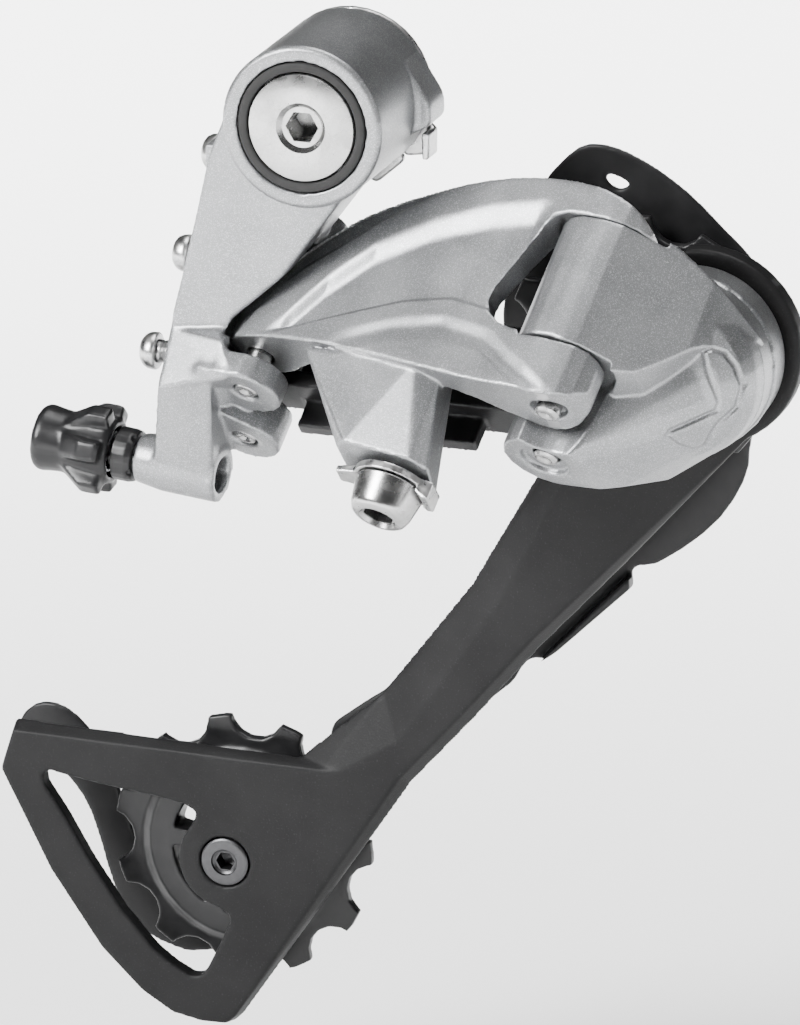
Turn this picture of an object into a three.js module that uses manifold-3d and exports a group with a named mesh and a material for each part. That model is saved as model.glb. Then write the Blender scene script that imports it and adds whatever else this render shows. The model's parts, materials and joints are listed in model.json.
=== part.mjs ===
// Rear bicycle derailleur with a slant parallelogram and a long cage.
// Millimetres. +X points forward on the bicycle, +Y inboard towards the cassette, +Z up.
// The origin is on the mounting bolt's axis, in the plane where the bolt's shoulder seats on the hanger.
import * as THREE from 'three';
import { mergeVertices } from 'three/addons/utils/BufferGeometryUtils.js';
import { ConvexGeometry } from 'three/addons/geometries/ConvexGeometry.js';
import Module from 'manifold-3d';

const wasm = await Module();
wasm.setup();

// ---------- driving dimensions ----------
const GAP = 0.3; // clearance between touching pieces
const FRONT_Y = -29.2; // outboard face of the B-knuckle barrel
const BARREL_R = 13.9;
const BARREL_BACK_Y = -2.9;
const SPRING_ROOM_R = 10.2;
const BOLT_DISC_R = 9.3;
const BOLT_NECK_R = 5.6;
const BOLT_SHOULDER_R = 6.6;
const THREAD_R = 4.9; // M10 x 1
const THREAD_LENGTH = 9;
const HANGER_HEX = 5; // across flats

const PIN_R = 2.1; // parallelogram pins
const LINK_SPAN = [57.5, -14]; // outer link, pin to pin, in the linkage plane
const LINK_OFFSET = [-2.5, 13]; // outer pin to inner pin, in the linkage plane
const LUG_R = 6.3;

const P_AXIS = [61, -40.4]; // X, Z of the cage pivot
const GUIDE_AXIS = [47.5, -45];
const TENSION_AXIS = [-24.2, -141.6];
const DRUM_R = 15;
const DRUM_BACK_Y = -2.3;
const PLATE_FRONT_Y = -1;
const PLATE_BACK_Y = 2.2;
const TOOTH_PLANE_Y = 9.3;
const INNER_PLATE_Y = 14.1;
const INNER_PLATE_THICKNESS = 1.4;
const TEETH = 11;
const TIP_R = 23.7;
const TIP_PHASE = 100.4; // degrees, from +X towards +Z

const CLAMP = [33.4, -6]; // cable clamp bolt, in the linkage plane
const CLAMP_SEAT = -11.3; // underside of the cable boss, along the pins
const WASHER_THICKNESS = 1.3;

const ADJUSTER_MOUTH = [-16.6, -22, -64]; // where the cable leaves the adjuster boss
const ADJUSTER_DIRECTION = [-0.99, 0.05, 0.09]; // from the mouth out to the knob

// ---------- materials ----------
const finish = (color, roughness, metalness) => new THREE.MeshStandardMaterial({ color, roughness, metalness });
const silverPaint = () => finish(0xb4b6b8, 0.45, 0.7);
const brightSteel = () => finish(0xc9c9c7, 0.22, 1);
const zincSteel = () => finish(0xb9bab8, 0.35, 1);
const springSteel = () => finish(0x55575a, 0.4, 0.9);
const blackPlate = () => finish(0x262627, 0.55, 0.2);
const blackSteel = () => finish(0x1c1c1d, 0.5, 0.4);
const blackPlastic = () => finish(0x161617, 0.5, 0);
const greyBolt = () => finish(0x4a4a4c, 0.45, 0.6);
const blackRubber = () => finish(0x121212, 0.8, 0);
const bushNylon = () => finish(0x2b2b2d, 0.6, 0);

// ---------- frames ----------
const vec = (x, y, z) => new THREE.Vector3(x, y, z);
const frameOf = (origin, ex, ey, ez) => new THREE.Matrix4().makeBasis(ex, ey, ez).setPosition(origin);
const AXIS_X = vec(1, 0, 0);
const AXIS_Y = vec(0, 1, 0);
const AXIS_Z = vec(0, 0, 1);

// The four link pins lean inboard at the top, so the cage drops as it swings in under larger sprockets.
const PIN_AXIS = vec(0.14, 0.7, 0.7).normalize();
const LINK_U = AXIS_X.clone().addScaledVector(PIN_AXIS, -PIN_AXIS.x).normalize();
const LINK_V = PIN_AXIS.clone().cross(LINK_U);
const LINK_ORIGIN = vec(-10.5, -28, -47.3); // lower end of the outer link's pin in the B-knuckle
const linkPoint = (u, v, w) => LINK_ORIGIN.clone()
  .addScaledVector(LINK_U, u).addScaledVector(LINK_V, v).addScaledVector(PIN_AXIS, w);

const OUTER_B = [0, 0];
const INNER_B = LINK_OFFSET;
const OUTER_P = LINK_SPAN;
const INNER_P = [LINK_SPAN[0] + LINK_OFFSET[0], LINK_SPAN[1] + LINK_OFFSET[1]];

const aboutY = (x, z) => frameOf(vec(x, 0, z), AXIS_Z, AXIS_Y, AXIS_X.clone()); // lathe axis along +Y
const aboutPin = ([u, v]) => frameOf(linkPoint(u, v, 0), LINK_U, PIN_AXIS, LINK_V.clone().negate());
const aboutAxis = (origin, direction) => {
  const side = AXIS_Y.clone().cross(direction).normalize();
  return frameOf(origin, side, direction, side.clone().cross(direction));
};
const linkPlan = (w) => frameOf(linkPoint(0, 0, w), LINK_U, LINK_V, PIN_AXIS); // outline u, v, raised along w
const linkFace = (v) => frameOf(linkPoint(0, v, 0), LINK_U, PIN_AXIS, LINK_V.clone().negate()); // outline u, w
const sidePlane = (y) => frameOf(vec(0, y, 0), AXIS_X, AXIS_Z, AXIS_Y.clone().negate()); // outline x, z

// ---------- solids ----------
function toSolid(geometry, frame) {
  let bare = geometry.clone();
  bare.deleteAttribute('normal');
  bare.deleteAttribute('uv');
  if (frame) bare.applyMatrix4(frame);
  bare = mergeVertices(bare, 1e-4);
  const triVerts = Uint32Array.from(bare.index.array);
  const vertProperties = Float32Array.from(bare.attributes.position.array);
  if (signedVolume(vertProperties, triVerts) < 0) flip(triVerts);
  return new wasm.Manifold(new wasm.Mesh({ numProp: 3, vertProperties, triVerts }));
}

function signedVolume(points, triangles) {
  const corner = (i) => vec(points[3 * i], points[3 * i + 1], points[3 * i + 2]);
  let volume = 0;
  for (let t = 0; t < triangles.length; t += 3) {
    volume += corner(triangles[t]).dot(corner(triangles[t + 1]).cross(corner(triangles[t + 2])));
  }
  return volume;
}

function flip(triangles) {
  for (let t = 0; t < triangles.length; t += 3) {
    [triangles[t], triangles[t + 1]] = [triangles[t + 1], triangles[t]];
  }
}

function toGeometry(solid) {
  const mesh = solid.getMesh();
  const geometry = new THREE.BufferGeometry();
  geometry.setAttribute('position', new THREE.BufferAttribute(mesh.vertProperties, 3));
  geometry.setIndex(new THREE.BufferAttribute(mesh.triVerts, 1));
  geometry.computeVertexNormals();
  return geometry;
}

const join = (...solids) => solids.reduce((whole, solid) => whole.add(solid));
const cut = (solid, ...tools) => tools.reduce((whole, tool) => whole.subtract(tool), solid);

// A turned solid: profile of [radius, height] along the frame's Y axis, starting and ending on the axis.
const turned = (profile, frame, segments = 28) => toSolid(
  new THREE.LatheGeometry(profile.map(([r, h]) => new THREE.Vector2(r, h)), segments), frame);
const rod = (r, from, to, frame, segments = 20) => turned([[0, from], [r, from], [r, to], [0, to]], frame, segments);
const ring = (inner, outer, from, to, frame, segments = 28) => turned(
  [[inner, from], [outer, from], [outer, to], [inner, to], [inner, from]], frame, segments);
const hexSocket = (acrossFlats, from, to, frame) => rod(acrossFlats / Math.sqrt(3), from, to, frame, 6);

function polygon(points) {
  return new THREE.Shape(points.map(([x, y]) => new THREE.Vector2(x, y)));
}

// A closed smooth outline through a few points.
function smoothOutline(points, steps = 40) {
  const curve = new THREE.CatmullRomCurve3(points.map(([x, y]) => vec(x, y, 0)), true, 'centripetal');
  return new THREE.Shape(curve.getPoints(steps).slice(0, -1).map((p) => new THREE.Vector2(p.x, p.y)));
}

// A straight-sided outline with its corners rounded.
function roundedOutline(points, radius, steps = 2) {
  const path = new THREE.Shape();
  const at = (i) => new THREE.Vector2(...points[(i + points.length) % points.length]);
  points.forEach((_, i) => {
    const corner = at(i);
    const before = at(i - 1).sub(corner);
    const after = at(i + 1).sub(corner);
    const reach = Math.min(radius, before.length() * 0.45, after.length() * 0.45);
    const start = before.setLength(reach).add(corner);
    const end = after.setLength(reach).add(corner);
    if (i === 0) path.moveTo(start.x, start.y);
    else path.lineTo(start.x, start.y);
    path.quadraticCurveTo(corner.x, corner.y, end.x, end.y);
  });
  return polygon(path.getPoints(steps).map((p) => [p.x, p.y]).slice(0, -1));
}

const raised = (shape, depth, frame) => toSolid(
  new THREE.ExtrudeGeometry(shape, { depth, bevelEnabled: false, curveSegments: 8 }), frame);
const plate = (shape, fromY, toY) => raised(shape, toY - fromY, sidePlane(toY));
const hull = (points) => toSolid(new ConvexGeometry(points));
const box = (low, high) => hull([0, 1].flatMap((i) => [0, 1].flatMap((j) => [0, 1].map(
  (k) => vec([low, high][i][0], [low, high][j][1], [low, high][k][2])))));

const circlePoints = (r, height, frame, steps = 16) => Array.from({ length: steps }, (_, i) => {
  const angle = (2 * Math.PI * i) / steps;
  return vec(r * Math.cos(angle), height, r * Math.sin(angle)).applyMatrix4(frame);
});
const ballPoints = (centre, r) => new THREE.IcosahedronGeometry(r, 1).attributes.position.array
  .reduce((list, _, i, all) => (i % 3 ? list : [...list, vec(all[i], all[i + 1], all[i + 2]).add(centre)]), []);
const pinStub = ([u, v], r, from, to) => [
  ...circlePoints(r, from, aboutPin([u, v])), ...circlePoints(r, to, aboutPin([u, v]))];

// A coil spring with a straight leg at each end, wound about the frame's Y axis.
function coil({ radius, wire, from, to, turns, frame, sides = 5, perTurn = 14, startAngle = 0 }) {
  const steps = Math.round(turns * perTurn);
  const points = Array.from({ length: steps + 1 }, (_, i) => {
    const angle = startAngle + (2 * Math.PI * turns * i) / steps;
    const height = from + ((to - from) * i) / steps;
    return vec(radius * Math.cos(angle), height, radius * Math.sin(angle));
  });
  const path = new THREE.CatmullRomCurve3(points, false);
  const section = polygon(Array.from({ length: sides }, (_, i) => [
    (wire / 2) * Math.cos((2 * Math.PI * i) / sides), (wire / 2) * Math.sin((2 * Math.PI * i) / sides)]));
  return toSolid(new THREE.ExtrudeGeometry(section, { steps, bevelEnabled: false, extrudePath: path }), frame);
}

// ---------- mounting: what the hanger holds ----------
const B_FRAME = aboutY(0, 0);

function mountingBolt() {
  const body = turned([[0, FRONT_Y - 0.4], [5.5, FRONT_Y - 0.4], [BOLT_DISC_R, FRONT_Y + 0.2], [BOLT_DISC_R, -26.2],
    [BOLT_NECK_R, -26.2], [BOLT_NECK_R, -1.3], [BOLT_NECK_R - 0.7, -1.3], [BOLT_NECK_R - 0.7, -0.5],
    [BOLT_SHOULDER_R, -0.5], [BOLT_SHOULDER_R, 0], [THREAD_R, 0], [THREAD_R, THREAD_LENGTH - 0.8],
    [THREAD_R - 0.8, THREAD_LENGTH], [0, THREAD_LENGTH]], B_FRAME, 36);
  const countersink = turned([[0, FRONT_Y - 1], [4.2, FRONT_Y - 1], [3.4, FRONT_Y + 0.3], [0, FRONT_Y + 0.3]],
    B_FRAME, 18);
  return cut(body, countersink, hexSocket(HANGER_HEX, FRONT_Y, FRONT_Y + 6.5, B_FRAME));
}

const STOP_PLATE = { front: BARREL_BACK_Y + GAP, back: -1.4 };

function stopPlate() {
  const { front, back } = STOP_PLATE;
  const disc = ring(BOLT_NECK_R + GAP, BARREL_R, front, back, B_FRAME, 36);
  const limitTab = plate(roundedOutline([[11, -4], [14.6, -5.6], [14.7, -10.4], [9, -11.2]], 0.8),
    front, back);
  const bentTab = plate(roundedOutline([[13.4, -5.8], [14.7, -5.8], [14.7, -10.4], [13.4, -10.4]], 0.4),
    front - 3.8, back);
  const hangerTab = plate(roundedOutline([[1.5, -12], [8.6, -10.5], [9.2, -12], [4.2, -16.4], [2.6, -15.6]],
    0.8), front, back);
  const screwTab = plate(roundedOutline([[-10, -4], [-4, -12], [-3.6, -18], [-5.6, -20.4], [-6.2, -20.4],
    [-7.7, -17.8], [-9, -14]], 0.5), front, back);
  return join(disc, limitTab, bentTab, hangerTab, screwTab);
}

function snapRing() {
  const whole = ring(BOLT_NECK_R - 0.4, BOLT_NECK_R + 2, -1.15, -0.65, B_FRAME, 28);
  const mouth = box([3.5, -3, -2], [9, 0, 2]);
  return cut(whole, mouth);
}

// ---------- B-knuckle ----------
const SCREW_ROWS = { upper: [-24, -16, -27.6], lower: [-30, -16, -45.3] };
const SCREW_LENGTH = 16;
const TENSION_SCREW = [-23.4, -2.8, -13.5];
const TENSION_SCREW_LENGTH = 7;
const adjusterFrame = aboutAxis(vec(...ADJUSTER_MOUTH), vec(...ADJUSTER_DIRECTION).normalize());
const BOSS_LENGTH = 15;

const knuckleLugs = {
  outerLower: { at: OUTER_B, from: 0, to: 7 },
  innerLower: { at: INNER_B, from: -2.5, to: 4.5 },
  outerUpper: { at: OUTER_B, from: 27.3, to: 34 },
  innerUpper: { at: INNER_B, from: 23.8, to: 29.5 },
};

function bKnuckle() {
  const barrel = turned([[0, FRONT_Y], [BARREL_R - 0.5, FRONT_Y], [BARREL_R, FRONT_Y + 0.5],
    [BARREL_R, BARREL_BACK_Y], [0, BARREL_BACK_Y]], B_FRAME, 36);
  const arm = plate(roundedOutline([[-13.6, 3], [-17.7, -7.5], [-20, -18], [-22.6, -29], [-24.4, -36], [-24.6, -41],
    [-14, -41], [-15.4, -37], [-4.7, -27.3], [6.5, -12], [0, 0]], 1.5), -25.5, -10);
  const ear = plate(roundedOutline([[8, 10.6], [12, 7.6], [16.4, 0.8], [16.6, -3], [13, -5.2], [8, -4]], 1), -11,
    BARREL_BACK_Y);
  const wallBlock = hull([[-13.6, -1.5, -2], [-13.6, 17, -2], [-13.6, -3, 30], [-13.6, 17, 27], [-4, -6, 0],
    [-4, 17, -2], [-4, -6, 33], [-4, 17, 29]].map((p) => linkPoint(...p)));
  // The front face of the arm breaks into a facet that runs out over the lugs and ends in a sharp edge.
  const shoulder = hull([[-24.6, -25.5, -38], [-24.6, -25.5, -43.8], [-15.8, -25.5, -37], [-14.2, -28.5, -38.2],
    [-11.6, -31.9, -42.6], [-12.8, -31.9, -43.9], [-25.4, -30, -47.2], [-24.6, -14, -50], [-14, -20, -52],
    [-12, -16, -40], [-24.6, -12, -38]].map((p) => vec(...p)));
  const lugs = Object.values(knuckleLugs).map(({ at, from, to }) => hull([
    ...pinStub(at, LUG_R, from, to), ...pinStub([at[0] - 5.4, at[1] * 0.7], LUG_R - 0.8, from, to)]));
  const neck = hull([...circlePoints(11, -24, B_FRAME), ...circlePoints(11, -8, B_FRAME),
    ...pinStub([-8, 2], 5, 26, 33)]);
  const bossWeb = hull([[-25.4, -30, -47.2], [-15.6, -30.9, -45], [-25.3, -27, -57], [-27.4, -26.4, -61],
    [-17.4, -26.6, -64], [-16.4, -27, -58], [-24.6, -17, -48], [-15.6, -17, -48], [-27, -17, -62],
    [-17.2, -17, -65]].map((p) => vec(...p)));
  const boss = turned([[0, 0], [4.9, 0], [4.9, 10], [4.2, BOSS_LENGTH], [0, BOSS_LENGTH]], adjusterFrame, 24);
  const screwBoss = box([-23, -12, -17.5], [-18.2, 0.6, -9.5]);
  const casting = join(barrel, arm, ear, neck, wallBlock, shoulder, ...lugs, bossWeb, boss, screwBoss);
  return cut(casting,
    rod(SPRING_ROOM_R, -22.4, 5, B_FRAME, 24),
    rod(BOLT_DISC_R + 2, FRONT_Y - 2, -25.3, B_FRAME, 36),
    rod(BOLT_NECK_R + 1.6, -26, -20, B_FRAME, 24),
    rod(PIN_R + GAP, -4, 36, aboutPin(OUTER_B), 16), rod(PIN_R + GAP, -6, 31, aboutPin(INNER_B), 16),
    linkRoom(),
    ...Object.values(SCREW_ROWS).flatMap((at) => [
      rod(3.5, -5, 0, screwFrame(at), 16), rod(2.3, -2, SCREW_LENGTH + 1, screwFrame(at), 12)]),
    rod(2.3, -2, 15, screwFrame(TENSION_SCREW), 12),
    box([-24, BARREL_BACK_Y, -21], [24, 12, 16]),
    rod(3, -2, BOSS_LENGTH + 1, adjusterFrame));
}

// Room between the lugs for both links' ends through their whole swing.
function linkRoom() {
  const outer = rod(LUG_R + 1.2, 7, 27.3, aboutPin(OUTER_B), 24);
  const inner = rod(LUG_R - 0.4, 4.5, 23.8, aboutPin(INNER_B), 24);
  const between = raised(polygon([[-6.5, -2], [-7, 16], [30, 40], [60, -23], [20, -14.6], [10, -11.6],
    [-2, -7.6]]), 19.3, linkPlan(4.5));
  const above = raised(polygon([[-6.5, -2], [-6.5, 8], [30, 22], [60, -23], [20, -14.6], [10, -11.6],
    [-2, -7.6]]), 20.2, linkPlan(7.1));
  const keep = hull([...pinStub([-14, 1], 6.2, -6, 40), ...pinStub([-14, 12], 6, -6, 40)]);
  return join(outer, inner, cut(join(between, above), keep, rod(14.6, -40, 0, B_FRAME, 28)));
}

const screwFrame = ([x, y, z]) => aboutAxis(vec(x, y, z), AXIS_X.clone());

// Pan-head set screw: its head faces rearwards, its tip points forward.
function panScrew(at, length) {
  const frame = screwFrame(at);
  const body = turned([[0, -3.2], [1.6, -3.1], [2.7, -2.4], [3.2, -1.3], [3.2, -0.3], [2, 0], [2, length - 0.8],
    [1.3, length], [0, length]], frame, 16);
  const crossBar = (a, b) => hull([vec(-a, -3.6, -b), vec(a, -3.6, -b), vec(a, -3.6, b), vec(-a, -3.6, b),
    vec(-a * 0.5, -1.6, -b * 0.5), vec(a * 0.5, -1.6, -b * 0.5), vec(a * 0.5, -1.6, b * 0.5),
    vec(-a * 0.5, -1.6, b * 0.5)].map((p) => p.applyMatrix4(frame)));
  return cut(body, crossBar(1.6, 0.4), crossBar(0.4, 1.6));
}

function linkPin(at, from, to) {
  return turned([[0, from], [PIN_R - 0.3, from], [PIN_R, from + 0.3], [PIN_R, to - 0.3], [PIN_R - 0.3, to], [0, to]],
    aboutPin(at), 16);
}

// ---------- cable adjuster ----------
const ADJUSTER_KNOB_FROM = 19.4;
const ADJUSTER_KNOB_TO = 33.4;
const KNOB_LOBE_R = 8.1;

function adjusterKnob() {
  const core = turned([[0, ADJUSTER_KNOB_FROM], [5.2, ADJUSTER_KNOB_FROM], [5.8, ADJUSTER_KNOB_FROM + 0.8], [5.6, 25],
    [5.2, 27.5], [5.5, 30.5], [5.8, ADJUSTER_KNOB_TO - 1], [5.2, ADJUSTER_KNOB_TO], [0, ADJUSTER_KNOB_TO]],
  adjusterFrame, 24);
  const lobes = Array.from({ length: 6 }, (_, i) => {
    const angle = (Math.PI * i) / 3 + 0.3;
    const across = (r, spread) => vec(r * Math.cos(angle + spread), 0, r * Math.sin(angle + spread));
    const at = (r, spread, h) => across(r, spread).setY(h).applyMatrix4(adjusterFrame);
    return hull([0.42, -0.42].flatMap((spread) => [at(4.6, spread, 20), at(KNOB_LOBE_R, spread * 0.5, 20.2),
      at(KNOB_LOBE_R, spread * 0.5, 23.8), at(5.4, spread, 28)]));
  });
  return cut(join(core, ...lobes), rod(4.3, 18, 24.9, adjusterFrame), rod(2.7, 18, 27.2, adjusterFrame),
    rod(1.1, 18, 36, adjusterFrame, 16));
}

function adjusterBarrel() {
  const body = turned([[0, 6.5], [2.4, 6.5], [2.4, 27], [0, 27]], adjusterFrame, 24);
  return cut(body, rod(1.1, 5, 30, adjusterFrame, 16));
}

function adjusterCollar() {
  const body = turned([[2.9, 15.4], [4.3, 15.4], [4.6, 16.4], [4.6, 18.9], [2.9, 18.9], [2.9, 15.4]],
    adjusterFrame, 24);
  const teeth = Array.from({ length: 4 }, (_, i) => {
    const angle = (Math.PI * i) / 2 + 0.5;
    const at = (r, h, spread) => vec(r * Math.cos(angle + spread), h, r * Math.sin(angle + spread))
      .applyMatrix4(adjusterFrame);
    return hull([0.2, -0.2].flatMap((spread) => [at(3.6, 15, spread), at(6, 15, spread), at(3.9, 15, spread),
      at(6, 16, spread * 0.5), at(3.9, 16, spread * 0.5)]));
  });
  return cut(body, ...teeth);
}

function adjusterSpring() {
  return coil({ radius: 3.5, wire: 0.8, from: 19.8, to: 24.2, turns: 2.5, frame: adjusterFrame, perTurn: 12 });
}

// ---------- outer link ----------
const ROOM_FROM = 13.2; // the P-knuckle's barrel sits between the outer link's ears, along the pin
const ROOM_TO = 36.6;

function outerLink() {
  const plan = raised(smoothOutline([[-5.8, 1.5], [-5, -3.8], [0, -7], [10, -10.6], [20, -13.4], [32, -16.4],
    [45, -19], [55, -20.6], [61.5, -19.4], [64.2, -14], [61.5, -8.6], [57, -7.2], [50, -9.5], [42, -12.2],
    [30, -10.6], [18, -6.6], [9, -1], [4.6, 4], [0, 5.8], [-4, 4.8]], 44), 60, linkPlan(-5));
  const face = raised(roundedOutline([[-7, 14], [1.2, 21.4], [6.6, 26.6], [12, 31.4], [20, 35.8], [29.4, 39.7],
    [38, 42], [46, 42.8], [55, 42.2], [61.4, 40], [64.6, 37.6], [65, 36.4], [47.4, 36.6], [41, 18.5], [45, 14.4],
    [56, 13.2], [65, 13.2], [64.6, 8], [62, 4.4], [57, 3.2], [44.5, 3.4], [30.2, 5], [16, 6.8], [4, 7.4], [-7, 7.4]],
  3, 2), 70, linkFace(30));
  const boss = hull([[11.5, -11, 6], [33, -15.5, 6], [37, -14, 6], [14, -2, 8], [37.4, -8, 8],
    ...[[-9.6, -5, 0.9], [-7.8, -7.2, 1.1], [4.2, -7, 0.9], [7, -5, 0.7], [6.6, 4, 0], [4.6, 6.5, 0], [-5.4, 6.5, 0],
      [-8.6, 4, 0]].map(([u, v, w]) => [CLAMP[0] + u, CLAMP[1] + v, CLAMP_SEAT + w])].map((p) => linkPoint(...p)));
  const casting = join(plan.intersect(face), boss);
  const barrelRoom = hull([...pinStub(OUTER_P, 10, ROOM_FROM, ROOM_TO), ...pinStub([72, -14], 10, ROOM_FROM, ROOM_TO)]);
  return cut(casting, barrelRoom,
    rod(PIN_R + GAP, 5, 28, aboutPin(OUTER_B)),
    rod(PIN_R + GAP, 0, 44, aboutPin(OUTER_P)), rod(3.1, 0, 5.2, aboutPin(OUTER_P)),
    rod(2.8, CLAMP_SEAT - 1, 2, aboutPin(CLAMP)),
    upperEarTrim(), lowerEarTrim());
}

// The B end fits between the B-knuckle's outer lugs.
const upperEarTrim = () => rod(LUG_R + 1.4, 27, 40, aboutPin(OUTER_B), 28);
const lowerEarTrim = () => rod(LUG_R + 1.4, -3, 7.3, aboutPin(OUTER_B), 28);

function cableWasher() {
  const top = CLAMP_SEAT - GAP;
  const bottom = top - WASHER_THICKNESS;
  const at = (u, v, w) => linkPoint(CLAMP[0] + u, CLAMP[1] + v, w);
  const disc = ring(3, 6.6, bottom, top, aboutPin(CLAMP), 24);
  const foldedTab = hull([...[-3, 3].flatMap((v) => [at(-4, v, bottom), at(-4, v, top)]),
    ...[-2, 1.6].flatMap((v) => [at(-9.4, v, bottom - 0.4), at(-9.4, v, bottom + 0.6), at(-7, v, top)])]);
  const stopTab = hull([...[-3.4, 3.6].flatMap((v) => [at(3.6, v, bottom), at(3.6, v, top)]),
    ...[-2.8, 2.2].flatMap((v) => [at(8, v, top), at(8, v, bottom - 1.8), at(6.8, v, bottom - 1.8)])]);
  return cut(join(disc, foldedTab, stopTab), rod(2.8, bottom - 4, top + 1, aboutPin(CLAMP)),
    rod(6.3, bottom - 5, bottom, aboutPin(CLAMP), 24));
}

function cableBolt() {
  const frame = aboutPin(CLAMP);
  const head = CLAMP_SEAT - 2 * GAP - WASHER_THICKNESS;
  const body = turned([[0, head - 5.9], [3.8, head - 5.9], [4.8, head - 5.4], [5.2, head - 4.5], [6, head],
    [2.5, head], [2.5, CLAMP_SEAT + 9], [0, CLAMP_SEAT + 9]], frame, 32);
  return cut(body, hexSocket(5, head - 7, head - 1.8, frame));
}

// ---------- inner link ----------
function innerLink() {
  const [bu, bv] = INNER_B;
  const [pu, pv] = INNER_P;
  const bar = hull([...pinStub([bu, bv], 4.4, 6.6, 22.4), ...pinStub([pu, pv], 4.4, 6.6, 22.4)]);
  const web = hull([1.6, 8].flatMap((w) => [[6, bv - 1.6, w], [6, bv + 1.4, w], [41, pv + 2.8, w], [41, pv + 5.8, w]])
    .map((p) => linkPoint(...p)));
  const channel = raised(polygon([[bu - 8, bv - 2.4], [bu + 5, bv + 2.6], [pu - 5, pv + 2.2], [pu + 8, pv - 3],
    [pu, pv - 14], [bu, bv - 14]]), 9.6, linkPlan(9.6));
  return cut(join(bar, web), channel, rod(4.4, 9.6, 19.2, aboutPin(INNER_B), 24),
    rod(PIN_R + GAP, 0, 30, aboutPin(INNER_B)), rod(PIN_R + GAP, 0, 30, aboutPin(INNER_P)),
    rod(LUG_R + 0.4, -4, 4.9, aboutPin(INNER_B), 32));
}

function returnSpring() {
  return coil({ radius: 3.4, wire: 1.2, from: 10.6, to: 18.2, turns: 4.5, frame: aboutPin(INNER_B), perTurn: 12 });
}

// ---------- P-knuckle ----------
const P_FRAME = aboutY(...P_AXIS);
const P_AXLE_R = 3.6;

function pKnuckle() {
  const drum = turned([[0, -26], [6, -25.6], [10.4, -24], [13.4, -21], [14.7, -17.6], [DRUM_R, -14],
    [DRUM_R, DRUM_BACK_Y], [0, DRUM_BACK_Y]], P_FRAME, 36);
  const upperPlan = hull([[54.9, -14, 6.8], [57.5, -14, 6.9], [70, -5.2, 6.8], [77, 2, 5.2], [66, 4, 6]]
    .flatMap(([u, v, r]) => pinStub([u, v], r, -5, 45)));
  const upperFace = raised(polygon([[46, 13.6], [56, 13.6], [61, 12.4], [65, 11.4], [69, 13.6], [72, 17.5], [76.4, 24],
    [82.5, 31.6], [75, 35], [68, 37.6], [60, 36.8], [46, 36.8]]), 60, linkFace(20));
  const upperBody = upperPlan.intersect(upperFace);
  const lowerBody = hull([...pinStub(INNER_P, 7.4, 0, 6), ...circlePoints(12.4, -22, P_FRAME),
    ...circlePoints(DRUM_R + 0.6, -8, P_FRAME, 28), ...ballPoints(vec(52, -25, -50.6), 8),
    ...ballPoints(vec(57, -16, -52), 7.6)]);
  const upperLug = hull([...pinStub(INNER_P, 5.4, 22.9, 28.4), ...pinStub([68, 2], 7, 20, 28)]);
  const casting = join(drum, upperBody, lowerBody, upperLug);
  const linkPocket = join(
    rod(5.4, 6.1, 22.9, aboutPin(INNER_P), 24),
    raised(polygon([[55, 4.6], [55, -7.2], [50, -12], [40, -18], [20, -40], [-20, -20], [0, 22], [40, 8.8]]), 16.8,
      linkPlan(6.1)));
  const barrelKeep = rod(7.3, ROOM_FROM + 0.5, ROOM_TO - 0.5, aboutPin(OUTER_P), 26);
  return cut(casting,
    cut(linkPocket, barrelKeep),
    rod(LUG_R + 2.2, -6, ROOM_FROM + 0.2, aboutPin(OUTER_P), 28),
    rod(LUG_R + 3.2, ROOM_TO - 0.2, 48, aboutPin(OUTER_P), 28),
    rod(PIN_R + GAP, 0, 44, aboutPin(OUTER_P)),
    rod(PIN_R + GAP, -4, 32, aboutPin(INNER_P)), rod(4.2, -4, 1.2, aboutPin(INNER_P)),
    rod(11.6, -18, 3, P_FRAME, 32), rod(P_AXLE_R + 1.5, -21.4, -17, P_FRAME),
    box([30, DRUM_BACK_Y, -70], [90, 12, 0]));
}

// ---------- cage ----------
const ring2d = (centre, r, from, to, steps) => Array.from({ length: steps + 1 }, (_, i) => {
  const angle = ((from + ((to - from) * i) / steps) * Math.PI) / 180;
  return [centre[0] + r * Math.cos(angle), centre[1] + r * Math.sin(angle)];
});
const slab = (front, back, backY = PLATE_BACK_Y) => hull([
  ...front.map(([x, z]) => vec(x, PLATE_FRONT_Y, z)), ...back.map(([x, z]) => vec(x, backY, z))]);

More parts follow.
